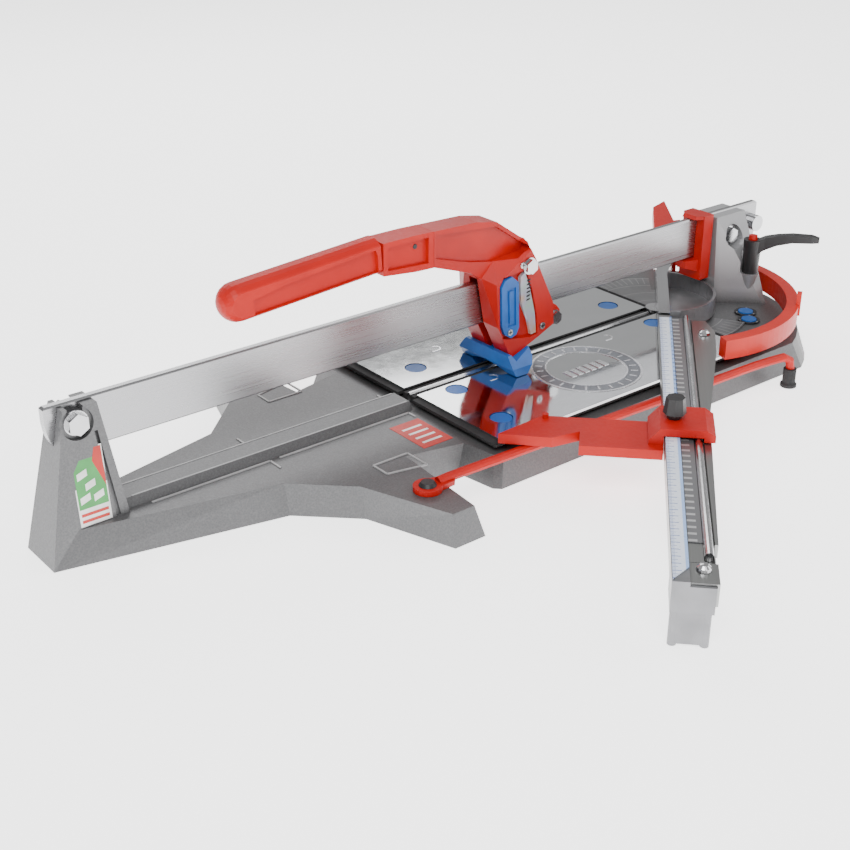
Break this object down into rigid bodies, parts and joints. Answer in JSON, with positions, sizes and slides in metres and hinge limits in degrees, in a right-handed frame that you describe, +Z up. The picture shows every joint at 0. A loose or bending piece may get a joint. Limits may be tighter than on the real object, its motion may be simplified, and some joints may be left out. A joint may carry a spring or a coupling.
{
  "type": "manual tile cutter",
  "caption": "Bench tile cutter: a grey cast base with a steel rail on two posts, a sliding red scoring head with a grip, sprung plates, a swivelling square and side supports.",
  "frame": {"origin": "on the bench surface under the rail's mid-plane, at the rail's front end", "axes": "+X along the rail from the front post to the rear post, +Y to the far side, +Z up"},
  "size_m": [0.9913, 0.6534, 0.2058],
  "materials": {
    "cast_grey": "hammer-finish grey paint on a casting",
    "cast_metal": "bare cast metal, lightly machined",
    "rail_steel": "drawn steel, brushed lengthways",
    "bright_steel": "zinc-bright steel",
    "plate_metal": "polished sheet with embossed marks",
    "profile_metal": "anodised extrusion",
    "red_paint": "gloss orange-red paint on a casting",
    "red_plastic": "moulded orange-red plastic",
    "blue_plastic": "moulded blue plastic",
    "black_plastic": "moulded black plastic",
    "black_rubber": "matt rubber",
    "ruler_white": "printed pale strip",
    "brass": "plain machined brass",
    "clear_plastic": "clear iridescent plastic strip"
  },
  "bodies": {
    "base": {"base_casting": "cast_grey", "rail_bar": "rail_steel", "front_rail_bolt": "bright_steel", "front_rail_nut": "bright_steel", "rear_rail_bolt": "bright_steel", "rear_rail_nut": "bright_steel", "rail_end_screw": "bright_steel", "rail_bracket": "red_paint", "breaking_bar": "bright_steel", "breaker_channel": "black_rubber", "angle_plate": "cast_metal", "rear_damper_1": "blue_plastic", "rear_damper_2": "blue_plastic", "clamp_stud": "bright_steel", "near_support_screw": "black_plastic", "far_support_screw": "black_plastic"},
    "carriage": {"lower_roller_bolt": "bright_steel"},
    "head": {"head_casting": "red_paint", "handle_grip": "red_plastic", "handle_link": "red_plastic", "handle_pin": "black_plastic", "upper_roller_bolt": "bright_steel", "wheel_holder": "brass", "breaker_foot": "blue_plastic", "side_cover": "blue_plastic", "spring_window": "clear_plastic"},
    "lower_roller": {"lower_roller": "bright_steel"},
    "upper_roller": {"upper_roller": "bright_steel"},
    "scoring_wheel": {"scoring_wheel": "bright_steel"},
    "near_platform": {"near_plate": "plate_metal", "near_plate_pad": "black_rubber", "near_damper_1": "blue_plastic", "near_damper_2": "blue_plastic", "near_damper_3": "blue_plastic"},
    "far_platform": {"far_plate": "plate_metal", "far_plate_pad": "black_rubber", "far_damper_1": "blue_plastic", "far_damper_2": "blue_plastic"},
    "square": {"fence_block": "bright_steel", "swivel_drum": "cast_metal", "arm_profile": "profile_metal", "arm_ruler": "ruler_white", "arm_scale": "cast_metal", "arm_rod": "bright_steel", "arm_side_plate": "profile_metal", "arm_end_foot": "cast_metal", "arm_end_bracket": "profile_metal", "arm_end_nut": "bright_steel", "arm_root_screw": "bright_steel", "square_pivot_pin": "bright_steel", "far_fence": "red_plastic", "angle_sector": "red_plastic"},
    "stop": {"stop_blade": "red_plastic"},
    "stop_knob": {"stop_knob": "black_plastic"},
    "clamp_lever": {"clamp_lever": "black_plastic"},
    "clamp_button": {"clamp_button": "red_plastic"},
    "near_support": {"near_support_arm": "red_plastic", "near_support_foot": "black_rubber"},
    "far_support": {"far_support_arm": "red_plastic", "far_support_foot": "black_rubber"}
  },
  "joints": [
    {"name": "head_travel", "type": "slide", "parent": "base", "child": "carriage", "axis": [1, 0, 0], "range_m": [-0.385, 0.178]},
    {"name": "head_rock", "type": "hinge", "parent": "carriage", "child": "head", "pos_m": [0.54, 0, 0.08], "axis": [0, 1, 0], "range_deg": [0, 20]},
    {"name": "lower_roller_spin", "type": "hinge", "parent": "carriage", "child": "lower_roller", "pos_m": [0.54, 0, 0.08], "axis": [0, 1, 0], "continuous": true},
    {"name": "upper_roller_spin", "type": "hinge", "parent": "head", "child": "upper_roller", "pos_m": [0.495, 0, 0.1473], "axis": [0, 1, 0], "continuous": true},
    {"name": "scoring_wheel_spin", "type": "hinge", "parent": "head", "child": "scoring_wheel", "pos_m": [0.506, 0, 0.0484], "axis": [0, 1, 0], "continuous": true},
    {"name": "near_platform_tilt", "type": "hinge", "parent": "base", "child": "near_platform", "pos_m": [0.54, -0.132, 0.034], "axis": [-1, 0, 0], "range_deg": [0, 1.9], "stiffness_Nm_per_rad": 60, "springref_deg": -1.15},
    {"name": "far_platform_tilt", "type": "hinge", "parent": "base", "child": "far_platform", "pos_m": [0.54, 0.132, 0.034], "axis": [1, 0, 0], "range_deg": [0, 1.9], "stiffness_Nm_per_rad": 60, "springref_deg": -1.15},
    {"name": "square_swivel", "type": "hinge", "parent": "base", "child": "square", "pos_m": [0.716, 0, 0.04], "axis": [0, 0, 1], "range_deg": [0, 46.3]},
    {"name": "stop_travel", "type": "slide", "parent": "square", "child": "stop", "axis": [-0.723, -0.6909, 0], "range_m": [-0.133, 0.185]},
    {"name": "stop_knob_turn", "type": "hinge", "parent": "stop", "child": "stop_knob", "pos_m": [0.48295, -0.23377, 0.075], "axis": [0, 0, 1], "range_deg": [-90, 270]},
    {"name": "clamp_lever_turn", "type": "hinge", "parent": "base", "child": "clamp_lever", "pos_m": [0.815, -0.045, 0.09], "axis": [0, 0, 1], "range_deg": [-80, 60]},
    {"name": "clamp_button_press", "type": "slide", "parent": "clamp_lever", "child": "clamp_button", "axis": [0, 0, -1], "range_m": [0, 0.0025], "stiffness_N_per_m": 300, "springref_m": -0.003},
    {"name": "near_support_swing", "type": "hinge", "parent": "base", "child": "near_support", "pos_m": [0.272, -0.148, 0.03], "axis": [0, 0, -1], "range_deg": [0, 63]},
    {"name": "far_support_swing", "type": "hinge", "parent": "base", "child": "far_support", "pos_m": [0.272, 0.148, 0.03], "axis": [0, 0, 1], "range_deg": [0, 83]}
  ],
  "couplings": [
    {"joint": "lower_roller_spin", "follows": "head_travel", "rad_per_m": -114.94},
    {"joint": "upper_roller_spin", "follows": "head_travel", "rad_per_m": 76.92},
    {"joint": "scoring_wheel_spin", "follows": "head_travel", "rad_per_m": 125}
  ]
}
